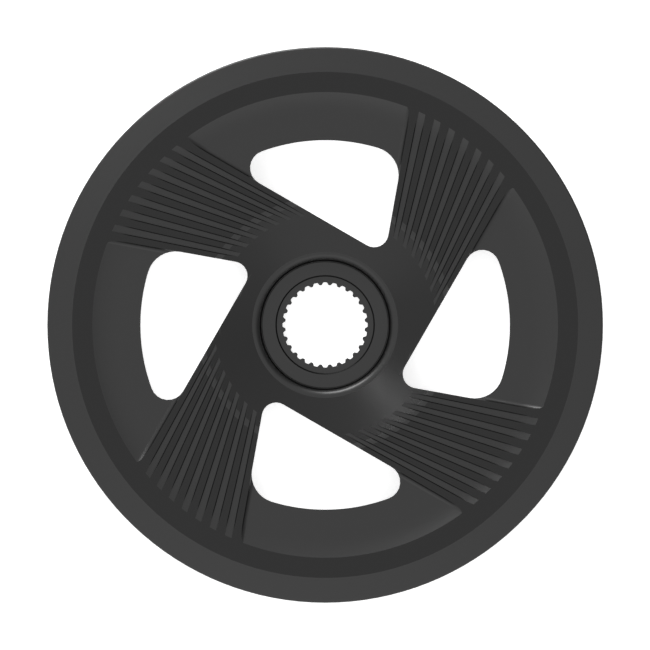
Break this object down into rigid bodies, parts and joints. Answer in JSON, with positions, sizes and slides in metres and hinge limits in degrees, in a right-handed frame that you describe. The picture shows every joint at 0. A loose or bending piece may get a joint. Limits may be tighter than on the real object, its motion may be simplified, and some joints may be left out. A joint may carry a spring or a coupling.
{
  "type": "bicycle chainring",
  "caption": "Flat toothed ring with a guard ring in one piece, swept grooved arms, a dished hub with a lockring recess and a splined bore; drives a bicycle chain.",
  "frame": {"origin": "centre of the bore in the plane of the rear hub face", "axes": "+Z along the bore axis towards the outer side with the grooved arms, +X and +Y as right and up in the picture"},
  "size_m": [0.196, 0.196, 0.015],
  "materials": {
    "anodised_aluminium": "black anodised, satin on the raised faces and matt in the sunk ones"
  },
  "bodies": {
    "root": {"chainring": "anodised_aluminium"}
  },
  "joints": []
}
